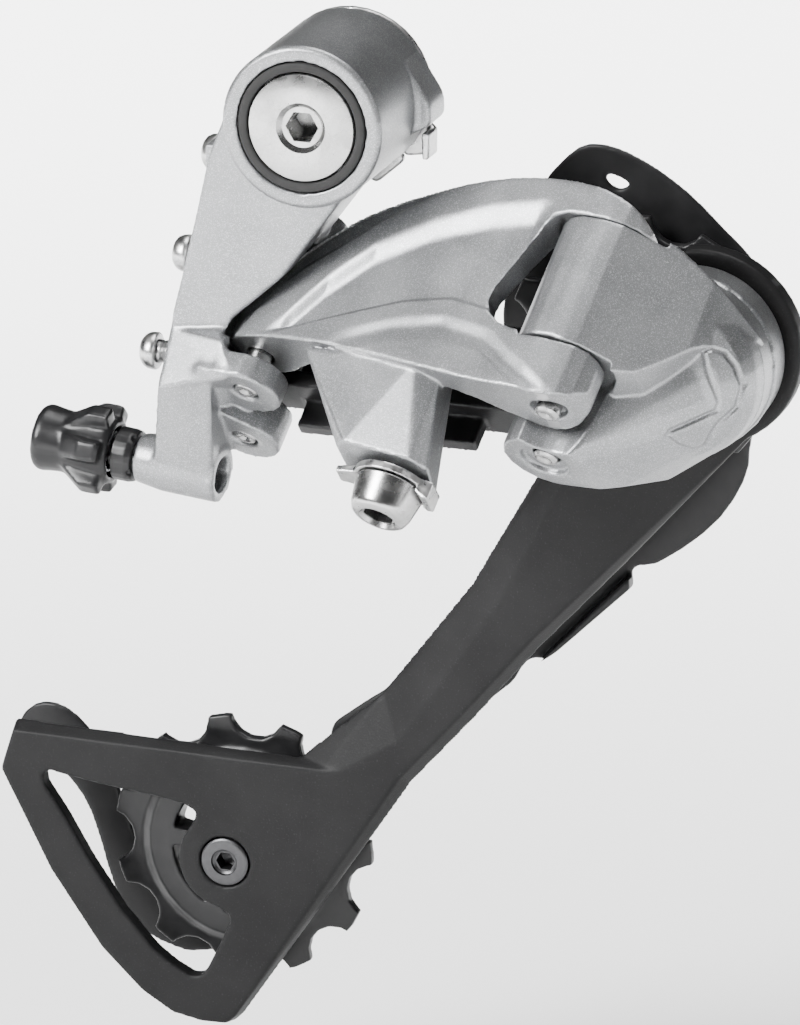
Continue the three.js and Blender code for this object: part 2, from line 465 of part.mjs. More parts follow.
function outerPlate() {
  const pivotDisc = turned([[0, PLATE_FRONT_Y], [16.6, PLATE_FRONT_Y], [17.2, PLATE_FRONT_Y + 0.6],
    [17.2, PLATE_BACK_Y + 1], [0, PLATE_BACK_Y + 1]], P_FRAME, 44);
  // The arm's face has one fold along its length; the rear-side facet and the outer edges fall away to the back.
  const armUpper = slab([[47, -44], [73, -51], [64.6, -56], [45, -80], [31.3, -95.1], [25.7, -88.5], [38, -69.6]],
    [[44, -44], [76.4, -46], [66, -58], [46.8, -81], [32.8, -96.4], [19.8, -86.7], [33, -68.2]]);
  const armLower = slab([[25.7, -88.5], [31.3, -95.1], [19, -109.7], [7.3, -123], [2, -127], [7.4, -116.4],
    [13.2, -111.5]],
  [[19.8, -86.7], [32.8, -96.4], [20.6, -111], [8.9, -124.3], [2, -127], [1.4, -111.4], [5.1, -106.2]]);
  const corner = slab([[7.4, -116.4], [13, -114], [2, -127], [-9, -126.5], [-2.3, -123.9]],
    [[5, -107], [13, -114], [2, -127], [-14, -124], [-10.6, -121.6], [-4.1, -118.6], [0.6, -113]]);
  const triangle = slab([[-63, -121.7], [-65.3, -129], [-56.3, -146.6], [-46.9, -160.1], [-39.4, -167.2],
    [-33.9, -170.5], [-28.7, -171.5], [-24.2, -171.4], [-22.6, -170], [-15.9, -159.4], [0.5, -132.5], [7.3, -123],
    [-9.2, -125.2], [-37.2, -124.9]],
  [[-63.4, -120.4], [-65.6, -129], [-56.3, -147], [-46.9, -160.5], [-39.4, -167.6], [-33.9, -170.9],
    [-28.7, -171.9], [-23.4, -171.8], [-21.6, -170], [-14.6, -158.8], [1.9, -132.2], [8.9, -124.3], [2, -123.2],
    [-12, -121.8], [-39.3, -121.9]]);
  const boss = rod(7.4, PLATE_FRONT_Y, 4.6, aboutY(...TENSION_AXIS), 24);
  const guideBoss = rod(7.4, PLATE_FRONT_Y, 4.6, aboutY(...GUIDE_AXIS), 24);
  const window = plate(windowOutline(), -3, 4.2);
  const body = cut(join(pivotDisc, armUpper, armLower, corner, triangle), window);
  const discStep = box([36, -4, -34], [57.4, 6, -20]);
  return cut(join(body, boss, guideBoss), discStep,
    ...[TENSION_AXIS, GUIDE_AXIS].flatMap((at) => [
      rod(BOLT_HEAD_R + GAP, -3, 1.6, aboutY(...at)), rod(2.8, -3, 6, aboutY(...at))]),
    rod(P_AXLE_R + 0.1 + GAP, -3, 6, P_FRAME), rod(1.8, -3, 6, aboutY(...STOP_PIN), 16));
}

function windowOutline() {
  const aroundBolt = ring2d([TENSION_AXIS[0], TENSION_AXIS[1]], 8.5, 155, 255, 8);
  return polygon([[-57.6, -129.2], [-56.4, -128.3], [-54.2, -128.8], [-46, -130], [-37.3, -130.9], [-31.6, -131.8],
    [-29.4, -133], [-29.8, -134.6], ...aroundBolt, [-23.6, -151], [-23.2, -152.4], [-25.3, -157], [-27.4, -161.4],
    [-28.6, -163], [-30.4, -163.4], [-34, -161.6], [-37.5, -159], [-43.2, -152.6], [-49.2, -143.9],
    [-53.7, -136.3], [-57.4, -130.9]]);
}

function innerPlate() {
  const y = [INNER_PLATE_Y, INNER_PLATE_Y + INNER_PLATE_THICKNESS];
  const guard = plate(smoothOutline([[24, -28], [28.8, -18], [31.4, -14.8], [35.2, -11.6], [40.4, -11.4],
    [47.4, -14.2], [53.6, -18.2], [59.6, -23.6], [66, -30], [70.6, -38], [72, -46], [69.8, -53.2], [65.4, -60], [64.6, -66.5],
    [60, -75], [52, -82.2], [46.4, -85], [36, -80], [26, -66], [21, -46]], 50), ...y);
  const arm = plate(roundedOutline([[34, -64], [52, -70], [46.6, -84.8], [44.2, -85.6], [44.6, -88.4], [41, -92],
    [31.7, -101], [28.6, -103.8], [26.5, -103.6], [24.6, -105.6], [23.4, -108.2], [9, -121], [-2, -134],
    [-12, -131], [-9.8, -120.6], [-9.2, -119.2], [-2.7, -114.2], [0, -112.4], [16, -92]], 1.2, 2), ...y);
  const hub = plate(polygon(ring2d(TENSION_AXIS, 10.4, 0, 351, 39)), ...y);
  const brace = plate(roundedOutline([[-20, -131.5], [-9, -124], [0, -131], [-8, -149], [-15, -157], [-26, -163],
    [-37, -165], [-44, -162.5], [-33, -155.5], [-27, -150], [-16, -144]], 2), ...y);
  const hook = plate(smoothOutline([[-67.6, -125.6], [-64.4, -122], [-60.6, -121.6], [-56, -124.2], [-51.4, -130.4],
    [-48.6, -137.4], [-45.4, -146], [-40.6, -153.6], [-34, -158.4], [-34, -164], [-42, -163.4], [-47.9, -158.8],
    [-50.9, -152], [-52.7, -145.9], [-55.4, -138.8], [-60, -133.4], [-65.6, -129.6]], 36), ...y);
  const flange = hull([[44.4, -86.4], [44.8, -88.6], [31.7, -101.4], [28.6, -103.8], [30.4, -101.4], [42.8, -89]]
    .flatMap(([x, z]) => [vec(x, INNER_PLATE_Y - 2.6, z), vec(x, INNER_PLATE_Y + 0.6, z)]));
  return cut(join(guard, arm, hub, brace, hook, flange),
    plate(smoothOutline([[39.2, -16.2], [41.2, -16.4], [43.4, -17.6], [42, -18.6], [39.8, -17.8]], 20), 10, 20),
    ...[TENSION_AXIS, GUIDE_AXIS].map((at) => rod(2.2 + GAP, 10, 20, aboutY(...at))),
    rod(4.2, 10, 20, P_FRAME));
}

const BOLT_HEAD_R = 4.3;

function pulleyBolt(at) {
  const frame = aboutY(...at);
  const body = turned([[0, PLATE_FRONT_Y - 0.1], [BOLT_HEAD_R - 0.4, PLATE_FRONT_Y - 0.1],
    [BOLT_HEAD_R, PLATE_FRONT_Y + 0.3], [BOLT_HEAD_R, 1.2], [2.5, 1.4], [2.5, 13.7], [2.2, 13.7], [2.2, 17], [0, 17]], frame, 20);
  return cut(body, rod(2.3, -3, -0.4, frame, 16), hexSocket(3, -2, 2.2, frame));
}

const bushing = (at) => ring(2.8, 4.2, 4.9, 13.8, aboutY(...at), 20);

function dustCap(at, side) {
  const y = [2.9, 3.5].map((h) => TOOTH_PLANE_Y + side * h);
  return ring(4.5, 8.2, ...y, aboutY(...at), 24);
}

function pulley(at, phase) {
  const frame = aboutY(...at);
  const y = (h) => TOOTH_PLANE_Y + h;
  const half = [[4.5, 2.6], [7.6, 2.6], [13, 2.9], [16.4, 2.7], [18.2, 1.3], [TIP_R, 0.9]];
  const profile = [...half.map(([r, h]) => [r, y(-h)]), ...half.slice().reverse().map(([r, h]) => [r, y(h)])];
  const blank = turned([...profile, profile[0]], frame, 33);
  const pitch = 360 / TEETH;
  const valleys = Array.from({ length: TEETH }, (_, i) => {
    const angle = ((phase + pitch * (i + 0.5)) * Math.PI) / 180;
    return rod(4.9, 4, 15, aboutY(at[0] + 24.8 * Math.cos(angle), at[1] + 24.8 * Math.sin(angle)), 14);
  });
  const slots = Array.from({ length: 5 }, (_, i) => {
    const from = i * 72 + 112;
    return plate(polygon([...ring2d(at, 12.2, from, from + 56, 5),
      ...ring2d(at, 8.9, from + 54, from + 2, 3)]), 4, 15);
  });
  return cut(blank, ...valleys, ...slots);
}

const STOP_PIN = [46.5, -31.5];

const pAxle = () => turned([[0, -20.8], [P_AXLE_R - 0.4, -20.8], [P_AXLE_R, -20.4], [P_AXLE_R, 4.6],
  [P_AXLE_R - 0.6, 5], [0, 5]], P_FRAME, 20);
const stopPin = () => rod(1.5, -5.4, 3.6, aboutY(...STOP_PIN), 16);

// ---------- assembly ----------
const derailleur = new THREE.Group();
derailleur.name = 'rear_derailleur';

function add(name, solid, material) {
  const mesh = new THREE.Mesh(toGeometry(solid), material);
  mesh.name = name;
  derailleur.add(mesh);
}

add('mounting_bolt', mountingBolt(), brightSteel());
add('stop_plate', stopPlate(), zincSteel());
add('snap_ring', snapRing(), springSteel());

add('b_knuckle', bKnuckle(), silverPaint());
add('bolt_seal_ring', ring(BOLT_DISC_R + 0.2, BOLT_DISC_R + 1.8, FRONT_Y, -25.6, B_FRAME, 48), blackRubber());
add('bolt_bush', ring(BOLT_NECK_R + 0.1, BOLT_NECK_R + 1.3, -25.3, -21, B_FRAME), bushNylon());
add('b_spring', coil({ radius: 8, wire: 1.8, from: -20, to: -6, turns: 4.5, frame: B_FRAME }),
  springSteel());
add('outer_pin_b', linkPin(OUTER_B, 0.2, 33.8), brightSteel());
add('inner_pin_b', linkPin(INNER_B, -2.3, 29.3), brightSteel());
add('limit_screw_upper', panScrew(SCREW_ROWS.upper, SCREW_LENGTH), zincSteel());
add('limit_screw_lower', panScrew(SCREW_ROWS.lower, SCREW_LENGTH), zincSteel());
add('b_tension_screw', panScrew(TENSION_SCREW, TENSION_SCREW_LENGTH), zincSteel());

add('adjuster_knob', adjusterKnob(), blackPlastic());
add('adjuster_barrel', adjusterBarrel(), zincSteel());
add('adjuster_collar', adjusterCollar(), blackPlastic());
add('adjuster_spring', adjusterSpring(), springSteel());

add('outer_link', outerLink(), silverPaint());
add('outer_pin_p', linkPin(OUTER_P, 2.4, 41.4), brightSteel());
add('cable_washer', cableWasher(), zincSteel());
add('cable_bolt', cableBolt(), brightSteel());

add('inner_link', innerLink(), blackSteel());
add('return_spring', returnSpring(), springSteel());

add('p_knuckle', pKnuckle(), silverPaint());
add('inner_pin_p', linkPin(INNER_P, 0.4, 28.2), brightSteel());
add('p_spring', coil({ radius: 8.6, wire: 1.8, from: -16, to: -5, turns: 3.5, frame: P_FRAME }),
  springSteel());
add('p_bush', ring(P_AXLE_R + 0.1, P_AXLE_R + 1.2, -20.6, -17.2, P_FRAME), bushNylon());

add('outer_plate', outerPlate(), blackPlate());
add('inner_plate', innerPlate(), blackSteel());
add('p_axle', pAxle(), zincSteel());
add('cage_stop_pin', stopPin(), zincSteel());

[['guide', GUIDE_AXIS, 92], ['tension', TENSION_AXIS, TIP_PHASE]].forEach(([name, at, phase]) => {
  add(`${name}_bolt`, pulleyBolt(at), greyBolt());
  add(`${name}_bushing`, bushing(at), brightSteel());
  add(`${name}_cap_outer`, dustCap(at, -1), zincSteel());
  add(`${name}_cap_inner`, dustCap(at, 1), zincSteel());
  add(`${name}_pulley`, pulley(at, phase), blackPlastic());
});

export default derailleur;
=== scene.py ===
"""Looks of the rear derailleur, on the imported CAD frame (metres, +X forward, +Y inboard, +Z up)."""
import json
import math

import bmesh
import bpy
from mathutils import Matrix, Vector


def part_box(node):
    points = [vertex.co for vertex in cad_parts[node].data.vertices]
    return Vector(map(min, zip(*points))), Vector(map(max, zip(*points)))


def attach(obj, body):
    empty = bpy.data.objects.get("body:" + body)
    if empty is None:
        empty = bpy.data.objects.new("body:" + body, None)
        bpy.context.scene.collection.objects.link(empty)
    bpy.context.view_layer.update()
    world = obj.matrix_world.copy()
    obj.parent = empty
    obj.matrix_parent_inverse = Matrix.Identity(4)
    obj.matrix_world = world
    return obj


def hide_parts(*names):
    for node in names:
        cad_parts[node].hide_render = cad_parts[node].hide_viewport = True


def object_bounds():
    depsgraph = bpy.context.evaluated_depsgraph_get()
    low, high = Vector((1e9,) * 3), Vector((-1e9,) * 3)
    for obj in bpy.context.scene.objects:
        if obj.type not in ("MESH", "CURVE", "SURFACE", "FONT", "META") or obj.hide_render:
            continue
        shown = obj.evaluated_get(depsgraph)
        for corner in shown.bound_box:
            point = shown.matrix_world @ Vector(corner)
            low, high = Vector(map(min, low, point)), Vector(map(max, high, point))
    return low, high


MM = 0.001
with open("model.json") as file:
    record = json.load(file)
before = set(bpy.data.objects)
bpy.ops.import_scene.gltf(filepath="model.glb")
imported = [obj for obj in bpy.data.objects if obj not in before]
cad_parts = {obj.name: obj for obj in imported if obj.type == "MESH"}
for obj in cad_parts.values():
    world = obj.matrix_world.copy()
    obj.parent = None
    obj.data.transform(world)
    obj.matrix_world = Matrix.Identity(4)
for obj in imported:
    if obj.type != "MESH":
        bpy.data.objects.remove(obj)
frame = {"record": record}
CAD_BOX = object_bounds()
SLOT_OF = {row["node"]: row["material_slot"] for row in frame["record"]["subparts"]}
BODY_OF = {node: body for body, nodes in frame["record"]["behaviour"]["bodies"].items() for node in nodes}
JOINTS = {joint["name"]: joint for joint in frame["record"]["behaviour"]["joints"]}


# ---------- camera ----------
AZIMUTH, ELEVATION = math.radians(18.5), math.radians(18.0)
VIEW_TARGET = Vector((21.7, -42.4, -60.5)) * MM
VIEW_DISTANCE = 1.6529


def look_direction(azimuth, elevation):
    """Unit vector from the object towards a viewer standing outboard of the bicycle."""
    return Vector((math.sin(azimuth) * math.cos(elevation), -math.cos(azimuth) * math.cos(elevation),
                   math.sin(elevation)))


def add_camera():
    data = bpy.data.cameras.new("camera")
    data.lens = 351.2
    data.sensor_width = 36.0
    data.clip_start = 0.05
    camera = bpy.data.objects.new("camera", data)
    back = look_direction(AZIMUTH, ELEVATION)
    camera.location = VIEW_TARGET + back * VIEW_DISTANCE
    camera.rotation_euler = back.to_track_quat("Z", "Y").to_euler()
    bpy.context.scene.collection.objects.link(camera)
    bpy.context.scene.camera = camera


# ---------- materials ----------
class Surface:
    """A Principled material with a few helpers for procedural detail in object space, and one mask for shade
    painted into hollows.
    """

    def __init__(self, name, colour, roughness, metallic=0.0, coat=0.0, coat_roughness=0.2, specular=0.5):
        self.material = bpy.data.materials.new(name)
        self.material.use_nodes = True
        self.tree = self.material.node_tree
        self.shader = self.tree.nodes["Principled BSDF"]
        inputs = self.shader.inputs
        inputs["Base Color"].default_value = (*colour, 1)
        inputs["Roughness"].default_value = roughness
        inputs["Metallic"].default_value = metallic
        inputs["Coat Weight"].default_value = coat
        inputs["Coat Roughness"].default_value = coat_roughness
        inputs["Specular IOR Level"].default_value = specular
        self.place = self.node("ShaderNodeTexCoord").outputs["Object"]

    def node(self, kind, **settings):
        made = self.tree.nodes.new(kind)
        for key, value in settings.items():
            setattr(made, key, value)
        return made

    def link(self, source, target):
        self.tree.links.new(source, target)

    def stretched(self, scale):
        mapping = self.node("ShaderNodeMapping")
        mapping.inputs["Scale"].default_value = scale
        self.link(self.place, mapping.inputs["Vector"])
        return mapping.outputs["Vector"]

    def noise(self, grain, detail=3.0, scale=None):
        """Noise whose features are about `grain` metres across."""
        made = self.node("ShaderNodeTexNoise")
        made.inputs["Scale"].default_value = 1 / grain
        made.inputs["Detail"].default_value = detail
        self.link(self.stretched(scale) if scale else self.place, made.inputs["Vector"])
        return made.outputs["Fac"]

    def flakes(self, size):
        made = self.node("ShaderNodeTexVoronoi")
        made.inputs["Scale"].default_value = 1 / size
        self.link(self.place, made.inputs["Vector"])
        return made.outputs["Color"]

    def ramp(self, source, low, high, to_low=0.0, to_high=1.0):
        made = self.node("ShaderNodeMapRange")
        for key, value in (("From Min", low), ("From Max", high), ("To Min", to_low), ("To Max", to_high)):
            made.inputs[key].default_value = value
        self.link(source, made.inputs["Value"])
        return made.outputs["Result"]

    def mix(self, factor, first, second):
        """Colour between two colours; each is a socket or a plain (r, g, b)."""
        made = self.node("ShaderNodeMix", data_type="RGBA")
        for socket, value in ((made.inputs[6], first), (made.inputs[7], second)):
            if isinstance(value, tuple):
                socket.default_value = (*value, 1)
            else:
                self.link(value, socket)
        self.link(factor, made.inputs[0])
        return made.outputs[2]

    def edges(self, low, high):
        """0 on flat faces, 1 on outward edges."""
        geometry = self.node("ShaderNodeNewGeometry")
        return self.ramp(geometry.outputs["Pointiness"], low, high)

    def painted_hollow_shade(self, reach):
        """Mask for painted shade: 1 in the open, 0 deep in a socket or a slot, where the colour is darkened
        to stand in for shade.
        """
        made = self.node("ShaderNodeAmbientOcclusion", samples=6, only_local=True)
        made.inputs["Distance"].default_value = reach
        return self.ramp(made.outputs["AO"], 0.4, 0.85)

    def paint(self, colour):
        self.link(colour, self.shader.inputs["Base Color"])

    def vary_roughness(self, source, low, high):
        self.link(self.ramp(source, 0.3, 0.7, low, high), self.shader.inputs["Roughness"])

    def bump(self, *layers):
        """Layers are (height socket, depth in metres)."""
        normal = None
        for height, depth in layers:
            made = self.node("ShaderNodeBump")
            made.inputs["Strength"].default_value = 1
            made.inputs["Distance"].default_value = depth
            self.link(height, made.inputs["Height"])
            if normal:
                self.link(normal, made.inputs["Normal"])
            normal = made.outputs["Normal"]
        self.link(normal, self.shader.inputs["Normal"])


def silver_paint():
    made = Surface("silver_paint", (0.3, 0.305, 0.312), 0.36, metallic=0.85, coat=0.2, coat_roughness=0.25)
    flake = made.flakes(0.11 * MM)
    grain = made.node("ShaderNodeSeparateColor")
    made.link(flake, grain.inputs[0])
    sparkle = grain.outputs[0]
    cloudy = made.noise(9 * MM, 4)
    base = made.mix(made.ramp(cloudy, 0.35, 0.65), (0.2, 0.204, 0.21), (0.24, 0.244, 0.25))
    flaked = made.mix(made.ramp(sparkle, 0.72, 1.0, 0, 0.8), base, (0.5, 0.51, 0.52))
    dark = made.mix(made.ramp(grain.outputs[1], 0.8, 1.0, 0, 0.45), flaked, (0.2, 0.203, 0.206))
    made.paint(made.mix(made.edges(0.56, 0.7), dark, (0.42, 0.42, 0.425)))
    made.vary_roughness(cloudy, 0.33, 0.4)
    made.bump((sparkle, 0.012 * MM), (made.noise(0.8 * MM, 3), 0.02 * MM))
    return made.material


def bright_steel(name="bright_steel", turned_face=False):
    made = Surface(name, (0.74, 0.74, 0.73), 0.2, metallic=1)
    streaks = made.noise(0.5 * MM, 5, (1, 0.12, 1))
    plated = made.mix(streaks, (0.32, 0.32, 0.317), (0.46, 0.46, 0.457))
    # Painted shade: the colour goes near black deep in sockets and slots, where shade falls.
    made.paint(made.mix(made.painted_hollow_shade(3 * MM), (0.03, 0.03, 0.03), plated))
    made.vary_roughness(made.noise(2.5 * MM, 4), 0.2, 0.32)
    if turned_face:
        made.shader.inputs["Anisotropic"].default_value = 0.75
        tangent = made.node("ShaderNodeTangent", direction_type="RADIAL", axis="Y")
        made.link(tangent.outputs["Tangent"], made.shader.inputs["Tangent"])
    made.bump((made.noise(0.25 * MM, 4), 0.004 * MM))
    return made.material


def zinc_steel():
    made = Surface("zinc_steel", (0.68, 0.68, 0.67), 0.3, metallic=1)
    mottle = made.noise(1.6 * MM, 5)
    plated = made.mix(made.ramp(mottle, 0.35, 0.65), (0.36, 0.364, 0.368), (0.52, 0.516, 0.51))
    # Painted shade: the colour goes near black deep in hollows, where shade falls.
    made.paint(made.mix(made.painted_hollow_shade(2 * MM), (0.03, 0.03, 0.03), plated))
    made.vary_roughness(mottle, 0.24, 0.38)
    made.bump((made.noise(0.4 * MM, 4), 0.012 * MM))
    return made.material


def spring_steel():
    made = Surface("spring_steel", (0.3, 0.31, 0.33), 0.35, metallic=1)
    oil = made.noise(1.2 * MM, 4)
    made.paint(made.mix(oil, (0.2, 0.205, 0.22), (0.4, 0.41, 0.42)))
    made.vary_roughness(oil, 0.28, 0.42)
    made.bump((made.noise(0.3 * MM, 3), 0.01 * MM))
    return made.material


def black_paint():
    made = Surface("black_paint", (0.009, 0.009, 0.0093), 0.52, specular=0.12)
    cloudy = made.noise(12 * MM, 4)
    base = made.mix(made.ramp(cloudy, 0.35, 0.65), (0.0075, 0.0075, 0.0078), (0.0105, 0.0105, 0.0108))
    specks = made.mix(made.ramp(made.noise(0.35 * MM, 2), 0.6, 0.75, 0, 0.4), base, (0.028, 0.028, 0.029))
    made.paint(made.mix(made.edges(0.56, 0.68), specks, (0.03, 0.03, 0.031)))
    made.vary_roughness(cloudy, 0.42, 0.52)
    made.bump((made.noise(0.35 * MM, 3), 0.03 * MM))
    return made.material


def black_steel():
    made = Surface("black_steel", (0.01, 0.01, 0.0105), 0.4, specular=0.2)
    cloudy = made.noise(6 * MM, 4)
    base = made.mix(made.ramp(cloudy, 0.35, 0.65), (0.008, 0.008, 0.0085), (0.012, 0.012, 0.0125))
    made.paint(made.mix(made.edges(0.56, 0.68), base, (0.03, 0.03, 0.031)))
    made.vary_roughness(cloudy, 0.33, 0.44)
    made.bump((made.noise(0.3 * MM, 3), 0.02 * MM))
    return made.material


def bolt_steel():
    made = Surface("bolt_steel", (0.16, 0.16, 0.17), 0.35, metallic=0.9)
    mottle = made.noise(1.1 * MM, 5)
    phosphated = made.mix(mottle, (0.045, 0.045, 0.047), (0.08, 0.08, 0.083))
    # Painted shade: the phosphated colour goes near black deep in the hex socket and other hollows, where
    # shade falls.
    made.paint(made.mix(made.painted_hollow_shade(2 * MM), (0.004, 0.004, 0.004), phosphated))
    made.vary_roughness(mottle, 0.3, 0.42)
    made.bump((made.noise(0.3 * MM, 4), 0.012 * MM))
    return made.material


def black_plastic():
    made = Surface("black_plastic", (0.008, 0.008, 0.0085), 0.36, specular=0.3)
    cloudy = made.noise(4 * MM, 4)
    base = made.mix(made.ramp(cloudy, 0.35, 0.65), (0.006, 0.006, 0.0065), (0.01, 0.01, 0.0105))
    made.paint(made.mix(made.edges(0.56, 0.7), base, (0.025, 0.025, 0.026)))
    made.vary_roughness(cloudy, 0.3, 0.4)
    made.bump((made.noise(0.25 * MM, 2), 0.008 * MM), (made.noise(2 * MM, 2), 0.02 * MM))
    return made.material


def nylon():
    made = Surface("nylon", (0.05, 0.05, 0.052), 0.5)
    cloudy = made.noise(2 * MM, 3)
    made.paint(made.mix(cloudy, (0.04, 0.04, 0.042), (0.062, 0.062, 0.064)))
    made.vary_roughness(cloudy, 0.44, 0.56)
    made.bump((made.noise(0.4 * MM, 2), 0.02 * MM))
    return made.material


def rubber():
    made = Surface("rubber", (0.012, 0.012, 0.012), 0.7, specular=0.3)
    cloudy = made.noise(1.5 * MM, 3)
    made.paint(made.mix(cloudy, (0.009, 0.009, 0.009), (0.016, 0.016, 0.016)))
    made.vary_roughness(cloudy, 0.62, 0.8)
    made.bump((made.noise(0.3 * MM, 2), 0.02 * MM))
    return made.material


MATERIALS = {make.__name__: make() for make in (
    silver_paint, bright_steel, zinc_steel, spring_steel, black_paint, black_steel, bolt_steel, black_plastic,
    nylon, rubber)}
MATERIALS["turned_steel"] = bright_steel("turned_steel", turned_face=True)


# ---------- mesh tools ----------
SMOOTH_FACTOR = 0.5
LATHE_SEGMENTS = 96
SHARP_ANGLE = math.radians(32)
SOCKET_POINT = 0.9  # depth of the cone at the bottom of a hex socket


def dress_cad_nodes():
    """Give each CAD node its finish."""
    for name, slot in SLOT_OF.items():
        bpy.data.objects[name].material_slots[0].material = MATERIALS[slot]


def closed_mesh(name, verts, faces):
    """A mesh of a closed surface, with its faces pointing out."""
    mesh = bpy.data.meshes.new(name)
    mesh.from_pydata(verts, [], faces)
    shape = bmesh.new()
    shape.from_mesh(mesh)
    bmesh.ops.recalc_face_normals(shape, faces=shape.faces)
    shape.to_mesh(mesh)
    shape.free()
    return mesh


def adopt(name, mesh, node, material=None):
    """Make a piece that stands for a CAD node, on the node's body and in its finish."""
    piece = bpy.data.objects.new(name, mesh)
    bpy.context.scene.collection.objects.link(piece)
    mesh.materials.clear()
    mesh.materials.append(material or MATERIALS[SLOT_OF[node]])
    mesh.polygons.foreach_set("use_smooth", [True] * len(mesh.polygons))
    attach(piece, BODY_OF[node])
    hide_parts(node)


def evaluated(mesh, *modifiers):
    """The mesh after modifiers, given as (type, settings)."""
    holder = bpy.data.objects.new("holder", mesh)
    bpy.context.scene.collection.objects.link(holder)
    for kind, settings in modifiers:
        made = holder.modifiers.new(kind.lower(), kind)
        for key, value in settings.items():
            setattr(made, key, value)
    graph = bpy.context.evaluated_depsgraph_get()
    result = bpy.data.meshes.new_from_object(holder.evaluated_get(graph))
    bpy.data.objects.remove(holder)
    return result


def softened(node, voxel, passes):
    """A copy of a CAD solid with its edges eased: remeshed in voxels, then smoothed."""
    return evaluated(bpy.data.objects[node].data.copy(),
                     ("REMESH", {"mode": "VOXEL", "voxel_size": voxel * MM}),
                     ("SMOOTH", {"factor": SMOOTH_FACTOR, "iterations": passes}))


def cut_away(mesh, *tools):
    """The mesh with closed tool meshes cut out of it."""
    for tool in tools:
        cutter = bpy.data.objects.new("cutter", tool)
        bpy.context.scene.collection.objects.link(cutter)
        settings = {"operation": "DIFFERENCE", "solver": "EXACT", "object": cutter}
        mesh = evaluated(mesh, ("BOOLEAN", settings))
        bpy.data.objects.remove(cutter)
    return mesh


def axis_frame(origin, direction):
    """Matrix whose Z axis runs along direction from origin; origin in millimetres."""
    turn = Vector(direction).normalized().to_track_quat("Z", "Y").to_matrix().to_4x4()
    return Matrix.Translation(Vector(origin) * MM) @ turn


def turned(profile, place, segments=LATHE_SEGMENTS):
    """A lathe mesh from (radius, height) points in millimetres; a profile off the axis closes on itself."""
    verts = []
    rings = []
    for radius, height in profile:
        count = 1 if radius == 0 else segments
        rings.append([len(verts) + i for i in range(count)])
        for i in range(count):
            turn = 2 * math.pi * i / count
            point = (radius * MM * math.cos(turn), radius * MM * math.sin(turn), height * MM)
            verts.append(place @ Vector(point))
    pairs = list(zip(rings, rings[1:]))
    if profile[0][0] != 0:
        pairs.append((rings[-1], rings[0]))
    faces = []
    for low, high in pairs:
        for i in range(segments):
            j = (i + 1) % segments
            corners = [low[i % len(low)], low[j % len(low)], high[j % len(high)], high[i % len(high)]]
            faces.append(tuple(dict.fromkeys(corners)))
    return closed_mesh("turned", verts, faces)


def hexagon(across_flats, low, high, place):
    """A hexagonal prism for cutting a socket, with a pointed bottom as a broach leaves it."""
    corner = across_flats / math.sqrt(3)
    step = math.copysign(SOCKET_POINT, high - low)
    return turned([(0, low - step), (corner, low), (corner, high), (0, high)], place, 6)


def crisp(mesh):
    """Smooth shading that keeps the sharp edges sharp."""
    mesh.polygons.foreach_set("use_smooth", [True] * len(mesh.polygons))
    mesh.set_sharp_from_angle(angle=SHARP_ANGLE)
    return mesh


def smooth_step(value, width):
    """0 below nought, 1 above width, and an S-curve between."""
    t = min(max(value / width, 0.0), 1.0)
    return t * t * (3 - 2 * t)


def along(points, x):
    """Straight-line interpolation through (x, y) points."""
    for (x0, y0), (x1, y1) in zip(points, points[1:]):
        if x <= x1:
            return y0 + (y1 - y0) * max(x - x0, 0.0) / (x1 - x0)
    return points[-1][1]


def about_y(centre_x, centre_z):
    return axis_frame((centre_x, 0, centre_z), (0, 1, 0))


def round_node(node):
    """A round node about Y, from its box in millimetres: its axis frame, radius, and near and far ends."""
    low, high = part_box(node)
    place = about_y((low[0] + high[0]) / 2 / MM, (low[2] + high[2]) / 2 / MM)
    return place, (high[0] - low[0]) / 2 / MM, low[1] / MM, high[1] / MM


ROUND_TOLERANCE = 0.22


def make_round(mesh, centre, radius, low_y, high_y):
    """Take the flats off a cylinder about Y: points close to its surface move onto it."""
    for vertex in mesh.vertices:
        x, y, z = vertex.co / MM
        reach = math.hypot(x - centre[0], z - centre[1])
        if low_y < y < high_y and abs(reach - radius) < ROUND_TOLERANCE:
            grow = radius / reach
            vertex.co.x = (centre[0] + (x - centre[0]) * grow) * MM
            vertex.co.z = (centre[1] + (z - centre[1]) * grow) * MM


# ---------- linkage frame ----------
PIN_AXIS = Vector(JOINTS["link_pivot"]["axis"]).normalized()
LINK_U = (Vector((1, 0, 0)) - PIN_AXIS * PIN_AXIS.x).normalized()
LINK_V = PIN_AXIS.cross(LINK_U)
PIN_MIDDLE = 17  # from the linkage plane to the joint's point, along the pin
LINK_ORIGIN = Vector(JOINTS["link_pivot"]["pos_m"]) / MM - PIN_AXIS * PIN_MIDDLE


def link_point(u, v, w):
    """Point in millimetres from linkage coordinates: u along the link, v inboard, w along the pins."""
    return LINK_ORIGIN + LINK_U * u + LINK_V * v + PIN_AXIS * w


def link_place(point):
    """(u, v, w) in millimetres of a point in metres."""
    offset = point / MM - LINK_ORIGIN
    return offset.dot(LINK_U), offset.dot(LINK_V), offset.dot(PIN_AXIS)


def on_pin(u, v):
    """Frame of a pin axis."""
    return axis_frame(link_point(u, v, 0), PIN_AXIS)


CAGE_AXIS = [JOINTS["cage_pivot"]["pos_m"][i] / MM for i in (0, 2)]
PULLEY_AXES = {name: [JOINTS[name + "_spin"]["pos_m"][i] / MM for i in (0, 2)]
               for name in ("guide", "tension")}


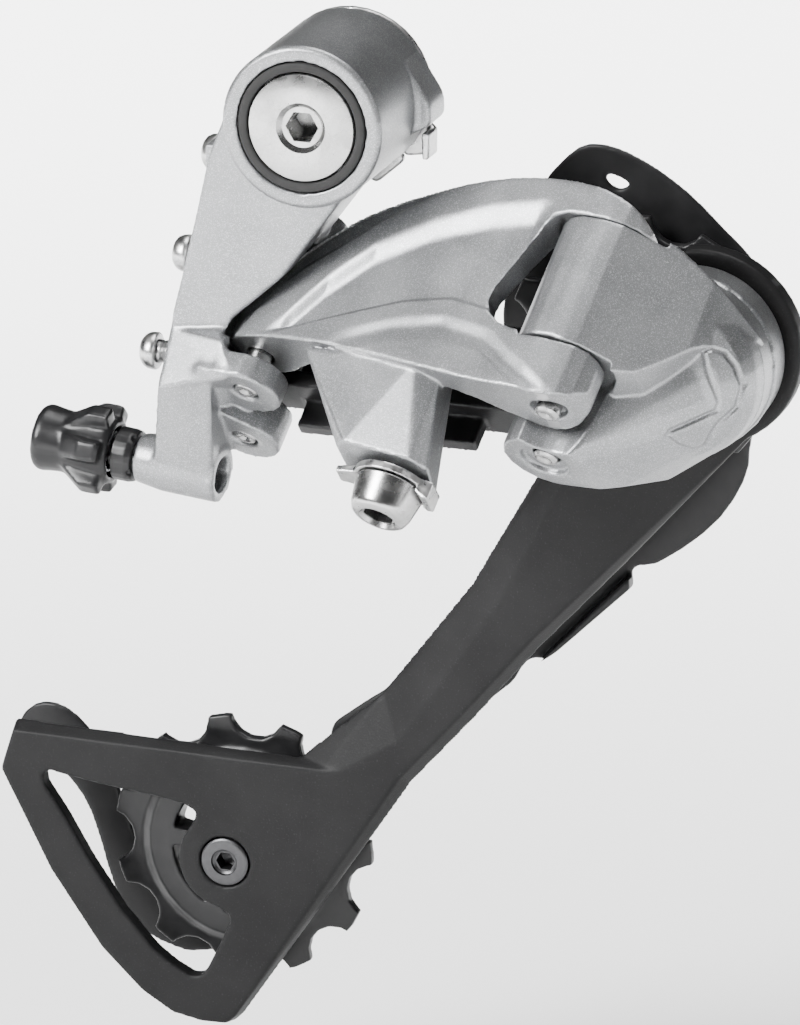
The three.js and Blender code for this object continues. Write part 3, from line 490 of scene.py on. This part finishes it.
# ---------- castings ----------
# Lines on the outer link's face, in (u, w)
LINK_RIDGE = [(0, 8), (5, 12.5), (10.7, 20.7), (17.4, 27.8), (26.7, 33.4), (36.6, 37.1), (45.3, 39.0),
              (60, 40)]
LINK_CREASE = [(0, 7.2), (2.4, 7.4), (14, 11.6), (26, 15.9), (35, 17.6), (44, 16.2), (50, 12.6), (58, 8),
               (66, 5)]
LINK_CROWN = [(-4, 7), (0.9, 16.4), (5.3, 21), (10.3, 25.2), (16.9, 31.4), (25.3, 36.6), (35.3, 40.6),
              (46, 43)]
PANEL_SINK = 1.25
CROWN_ROLL = 0.9
LIP_DEPTH = 0.3
LIP_BELOW_CREASE = 5.2
LIP_WIDTH = 2.6
OUTWARD = -0.25  # a normal's part along LINK_V, below which a face looks outboard


def shape_outer_link(mesh):
    """Sink the upper panel between the ridge and the crease, and roll the top edge back."""
    normals = [Vector(row.vector) for row in mesh.vertex_normals]
    for vertex, normal in zip(mesh.vertices, normals):
        if normal.dot(LINK_V) > OUTWARD:
            continue
        u, v, w = link_place(vertex.co)
        below_ridge = along(LINK_RIDGE, u) - w
        above_crease = w - along(LINK_CREASE, u)
        sink = PANEL_SINK * smooth_step(below_ridge, 5.5) * smooth_step(above_crease, 1.1)
        sink *= smooth_step(u - 0.5, 6) * smooth_step(47.5 - u, 3.5)
        over_crown = max(w - along(LINK_CROWN, u), 0.0) * smooth_step(30 - u, 12)
        from_lip = abs(above_crease + LIP_BELOW_CREASE)
        lip = LIP_DEPTH * smooth_step(LIP_WIDTH - from_lip, LIP_WIDTH) * smooth_step(u - 14, 8)
        vertex.co += LINK_V * (sink + min(over_crown, CROWN_ROLL) + lip) * MM
    mesh.update()
    return mesh


# The closed groove on the P-knuckle's face, in (x, z)
GROOVE = [(68.3, -33.5), (69.6, -33.1), (71.4, -33.9), (73.1, -36.2), (74.3, -39.6), (73.4, -43.3),
          (70.6, -46.2), (69.6, -47.9), (68.4, -50.3), (66.8, -51), (64.7, -49.6), (63.3, -47.5),
          (63.9, -46.5), (67.1, -45.1), (70.6, -43.5), (71.1, -41.8), (70.3, -39.6), (69.2, -36.8)]
GROOVE_DEPTH = 0.34
GROOVE_HALF_WIDTH = 0.55
GROOVE_FLANK = 0.45
DRUM_RADIUS, DRUM_LOW, DRUM_HIGH = 15, -14.5, -2.6
BARREL_RADIUS, BARREL_LOW, BARREL_HIGH = 13.9, -28.6, -3


def distance_to_loop(x, z, loop):
    """Distance from a point to the nearest side of a closed outline."""
    best = math.inf
    for (x0, z0), (x1, z1) in zip(loop, loop[1:] + loop[:1]):
        dx, dz = x1 - x0, z1 - z0
        t = min(max(((x - x0) * dx + (z - z0) * dz) / (dx * dx + dz * dz), 0.0), 1.0)
        best = min(best, math.hypot(x - x0 - t * dx, z - z0 - t * dz))
    return best


def shape_p_knuckle(mesh):
    """A true round drum, with a plain curved groove in the knuckle's face."""
    make_round(mesh, CAGE_AXIS, DRUM_RADIUS, DRUM_LOW, DRUM_HIGH)
    mesh.update()
    normals = [Vector(row.vector) for row in mesh.vertex_normals]
    for vertex, normal in zip(mesh.vertices, normals):
        x, y, z = vertex.co / MM
        if 61 < x < 77 and -53 < z < -31 and normal.y < -0.1 and y < -15:
            inside = GROOVE_HALF_WIDTH - distance_to_loop(x, z, GROOVE)
            vertex.co -= normal * GROOVE_DEPTH * smooth_step(inside, GROOVE_FLANK) * MM
    mesh.update()
    return mesh


def shape_b_knuckle(mesh):
    """A true round barrel about the mounting bolt."""
    make_round(mesh, (0, 0), BARREL_RADIUS, BARREL_LOW, BARREL_HIGH)
    mesh.update()
    return mesh


# Voxel size in millimetres and smoothing passes of each eased copy, then what shapes it further
CASTINGS = {"b_knuckle": (0.4, 6, shape_b_knuckle), "outer_link": (0.28, 12, shape_outer_link),
            "p_knuckle": (0.22, 30, shape_p_knuckle)}
EASED = {"outer_plate": (0.42, 4), "inner_plate": (0.42, 4), "inner_link": (0.32, 4),
         "adjuster_knob": (0.3, 22), "adjuster_collar": (0.18, 3), "cable_washer": (0.16, 4),
         "stop_plate": (0.22, 4), "snap_ring": (0.14, 3), "guide_pulley": (0.34, 4),
         "tension_pulley": (0.3, 4), "b_spring": (0.34, 3), "p_spring": (0.34, 3), "return_spring": (0.2, 4),
         "adjuster_spring": (0.14, 3)}
EASED_LAST = {"adjuster_barrel": (0.16, 3)}


def add_castings():
    for node, (voxel, passes, shape) in CASTINGS.items():
        adopt(node + "_casting", shape(softened(node, voxel, passes)), node)


def add_eased(eased):
    """Eased copies that need no further shaping."""
    for node, (voxel, passes) in eased.items():
        adopt(node + "_shaped", softened(node, voxel, passes), node)


# ---------- turned pieces ----------
# Profiles are (radius, height) in millimetres along each piece's own axis
HEX_5, HEX_3 = 5, 3


def thread(radius, depth, start, half_pitch, count):
    """Points of a thread's flanks: crests and roots by turns."""
    return [(radius - depth * (i % 2), start + half_pitch * i) for i in range(count)]


def add_mounting_bolt():
    """The hollow-headed bolt that the whole part hangs on, with its threaded end."""
    place = about_y(0, 0)
    profile = [(0, -29.45), (5.6, -29.45), (8.7, -29.3), (9.1, -29.2), (9.3, -28.9), (9.3, -26.2),
               (5.6, -26.2), (5.6, -1.3), (4.9, -1.3), (4.9, -0.5), (6.45, -0.5), (6.6, -0.35), (6.6, 0),
               (4.9, 0)]
    threads = thread(4.9, 0.35, 0.4, 0.5, 16)
    body = turned(profile + threads + [(4.3, 9), (0, 9)], place)
    sink = turned([(0, -30), (4.9, -30), (3.5, -28.7), (0, -28.7)], place)
    mesh = cut_away(body, sink, hexagon(HEX_5, -23, -31, place))
    adopt("mounting_bolt_turned", mesh, "mounting_bolt", MATERIALS["turned_steel"])
    crisp(mesh)


CLAMP_U, CLAMP_V = 33.4, -6  # cable bolt's axis on the linkage plane
CLAMP_HEAD = -13.2


def add_cable_bolt():
    """The tapered head that clamps the cable."""
    place = on_pin(CLAMP_U, CLAMP_V)
    head = CLAMP_HEAD
    profile = [(0, head - 5.9), (3.5, head - 5.9), (4.2, head - 5.75), (4.7, head - 5.4), (5.0, head - 4.8),
               (5.25, head - 4.2), (5.95, head - 0.4), (6, head - 0.2), (5.9, head), (2.5, head),
               (2.5, -2.3), (0, -2.3)]
    sink = turned([(0, head - 7), (3.5, head - 7), (3.5, head - 6.4), (2.9, head - 5.2), (0, head - 5.2)],
                  place)
    mesh = cut_away(turned(profile, place), sink, hexagon(HEX_5, head - 1.9, head - 7, place))
    adopt("cable_bolt_turned", mesh, "cable_bolt")
    crisp(mesh)


def add_pulley_bolts():
    """A bolt through each pulley, from the outer plate into the inner one."""
    for name, (x, z) in PULLEY_AXES.items():
        place = about_y(x, z)
        profile = [(0, -1.1), (3.7, -1.1), (4.05, -1.02), (4.25, -0.85), (4.3, -0.6), (4.3, 1.2), (2.5, 1.4),
                   (2.5, 13.7), (2.2, 13.7), (2.2, 16.7), (1.9, 17), (0, 17)]
        sink = turned([(0, -2), (2.5, -2), (2.3, -0.6), (1.9, -0.35), (0, -0.35)], place)
        mesh = cut_away(turned(profile, place), sink, hexagon(HEX_3, 2.4, -2, place))
        adopt(name + "_bolt_turned", mesh, name + "_bolt")
        crisp(mesh)


def bar(long, wide, top, bottom, place):
    """A tapered bar that cuts one stroke of a cross recess."""
    verts = [place @ (Vector((a * k, b * k, h)) * MM) for h, k in ((top, 1.15), (bottom, 0.55))
             for a, b in ((-long, -wide), (long, -wide), (long, wide), (-long, wide))]
    faces = [(3, 2, 1, 0), (4, 5, 6, 7), (0, 1, 5, 4), (1, 2, 6, 5), (2, 3, 7, 6), (3, 0, 4, 7)]
    return closed_mesh("bar", verts, faces)


SCREW_HEAD = 3.2  # both its height and its radius
SCREW_SHANK = 2
SCREW_HALF_PITCH = 0.35
SCREW_TIP = 1.4
CROSS_LONG, CROSS_WIDE = 1.75, 0.36
CROSS_TOP, CROSS_BOTTOM = -3.6, -1.5
SCREW_SEGMENTS = 64


def add_pan_screws():
    """The limit screws and the B-tension screw, along X, with cross recesses."""
    for node in ("limit_screw_upper", "limit_screw_lower", "b_tension_screw"):
        low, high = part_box(node)
        head = (low[0] / MM + SCREW_HEAD, (low[1] + high[1]) / 2 / MM, (low[2] + high[2]) / 2 / MM)
        length = high[0] / MM - head[0]
        place = axis_frame(head, (1, 0, 0))
        turns = int((length - SCREW_TIP) / SCREW_HALF_PITCH)
        threads = thread(SCREW_SHANK, 0.22, 0.6, SCREW_HALF_PITCH, turns)
        profile = [(0, -SCREW_HEAD), (1.2, -3.15), (2.1, -2.85), (2.75, -2.3), (3.1, -1.6),
                   (SCREW_HEAD, -0.9), (SCREW_HEAD, -0.35), (3.05, -0.1), (2.8, 0), (SCREW_SHANK, 0)]
        profile += threads + [(SCREW_TIP, length), (0, length)]
        strokes = [bar(CROSS_LONG, CROSS_WIDE, CROSS_TOP, CROSS_BOTTOM, place),
                   bar(CROSS_WIDE, CROSS_LONG, CROSS_TOP, CROSS_BOTTOM, place)]
        mesh = cut_away(turned(profile, place, SCREW_SEGMENTS), *strokes)
        adopt(node + "_turned", mesh, node)
        crisp(mesh)


# Each pin's axis (u, v) on the linkage plane and its two ends along w
PINS = {"outer_pin_b": (0, 0, 0.2, 33.8), "inner_pin_b": (-2.5, 13, -2.3, 29.3),
        "outer_pin_p": (57.5, -14, 2.4, 41.4), "inner_pin_p": (55, -1, 0.4, 28.2)}
PIN_END = [(0, 0.55), (0.5, 0.5), (0.85, 0.15), (1.35, 0), (1.8, 0.12), (2.1, 0.5)]
PIN_SEGMENTS = 48


def add_pins():
    """Riveted pins: each end is staked, with a small centre dimple."""
    for node, (u, v, low, high) in PINS.items():
        profile = [(r, low + h) for r, h in PIN_END] + [(r, high - h) for r, h in reversed(PIN_END)]
        adopt(node + "_turned", crisp(turned(profile, on_pin(u, v), PIN_SEGMENTS)), node)


# Bore radius of each ring
RINGS = {"bolt_seal_ring": 9.5, "bolt_bush": 5.7, "p_bush": 3.7, "guide_bushing": 2.8, "tension_bushing": 2.8,
         "guide_cap_outer": 4.5, "guide_cap_inner": 4.5, "tension_cap_outer": 4.5, "tension_cap_inner": 4.5}


RING_EASE = 0.3  # the largest rounding of a ring's edges


def add_rings():
    """Turned rings about Y: each has the outer size of its node and the bore given here."""
    for node, bore in RINGS.items():
        place, outer, near, far = round_node(node)
        ease = min(RING_EASE, (far - near) / 3, (outer - bore) / 3)
        mid = 0.3 * ease
        profile = [(bore, near + ease), (bore + mid, near + mid), (bore + ease, near),
                   (outer - ease, near), (outer - mid, near + mid), (outer, near + ease),
                   (outer, far - ease), (outer - mid, far - mid), (outer - ease, far),
                   (bore + ease, far), (bore + mid, far - mid), (bore, far - ease)]
        adopt(node + "_turned", turned(profile, place), node)


def add_rods():
    """The cage axle and the stop pin, with eased ends."""
    for node in ("p_axle", "cage_stop_pin"):
        place, radius, near, far = round_node(node)
        profile = [(0, near), (radius - 0.4, near), (radius - 0.1, near + 0.12), (radius, near + 0.4),
                   (radius, far - 0.4), (radius - 0.12, far - 0.12), (radius - 0.4, far), (0, far)]
        adopt(node + "_turned", crisp(turned(profile, place)), node)


# ---------- floor and light ----------
FLOOR_PANELS = 6
FLOOR_GAP = 30 * MM
FLOOR_SIDE = 3.0
PANEL_RADIUS, PANEL_HEIGHT = 1.05, 0.6
PANEL_WATTS = 17
PANEL_SPREAD = math.radians(75)
WORLD_STRENGTH = 0.08
LIT_CENTRE = Vector((0.01, -0.01, -0.07))


def add_floor():
    """A plain pale floor just below the part."""
    z = CAD_BOX[0][2] - FLOOR_GAP
    side = FLOOR_SIDE
    corners = [(-side, -side, z), (side, -side, z), (side, side, z), (-side, side, z)]
    mesh = bpy.data.meshes.new("floor")
    mesh.from_pydata(corners, [], [(0, 1, 2, 3)])
    floor = bpy.data.objects.new("floor", mesh)
    bpy.context.scene.collection.objects.link(floor)
    material = bpy.data.materials.new("floor")
    material.use_nodes = True
    shader = material.node_tree.nodes["Principled BSDF"]
    shader.inputs["Base Color"].default_value = (0.95, 0.95, 0.95, 1)
    shader.inputs["Roughness"].default_value = 0.9
    mesh.materials.append(material)


def add_area(name, location, target, size, watts):
    data = bpy.data.lights.new(name, "AREA")
    data.shape = "RECTANGLE"
    data.size, data.size_y = size
    data.energy = watts
    light = bpy.data.objects.new(name, data)
    light.location = location
    light.rotation_euler = (Vector(location) - Vector(target)).to_track_quat("Z", "Y").to_euler()
    bpy.context.scene.collection.objects.link(light)
    return light


def add_lights():
    """A large softbox to the left, others above and to the right, and a ring of panels over the floor.

    The panels are hidden from glossy rays, so they don't show as reflections in the metal.
    """
    add_area("key_softbox", (-0.8, -1.05, 0.75), LIT_CENTRE, (0.6, 0.8), 74)
    add_area("top_softbox", (0.1, 0.2, 1.1), LIT_CENTRE, (0.7, 0.7), 16)
    add_area("right_strip", (1.3, -0.5, 0.5), LIT_CENTRE, (0.2, 1.0), 3)
    for turn in range(FLOOR_PANELS):
        angle = 2 * math.pi * turn / FLOOR_PANELS
        spot = Vector((PANEL_RADIUS * math.cos(angle), PANEL_RADIUS * math.sin(angle), PANEL_HEIGHT))
        below = spot - Vector((0, 0, 1))
        panel = add_area(f"floor_panel_{turn}", spot, below, (1.0, 1.0), PANEL_WATTS)
        panel.data.spread = PANEL_SPREAD
        panel.visible_glossy = False
    world = bpy.data.worlds.new("studio")
    world.use_nodes = True
    background = world.node_tree.nodes["Background"]
    background.inputs["Color"].default_value = (1, 1, 1, 1)
    background.inputs["Strength"].default_value = WORLD_STRENGTH
    bpy.context.scene.world = world


add_camera()
dress_cad_nodes()
add_castings()
add_eased(EASED)
add_mounting_bolt()
add_cable_bolt()
add_pulley_bolts()
add_pan_screws()
add_pins()
add_rings()
add_rods()
add_eased(EASED_LAST)
add_floor()
add_lights()
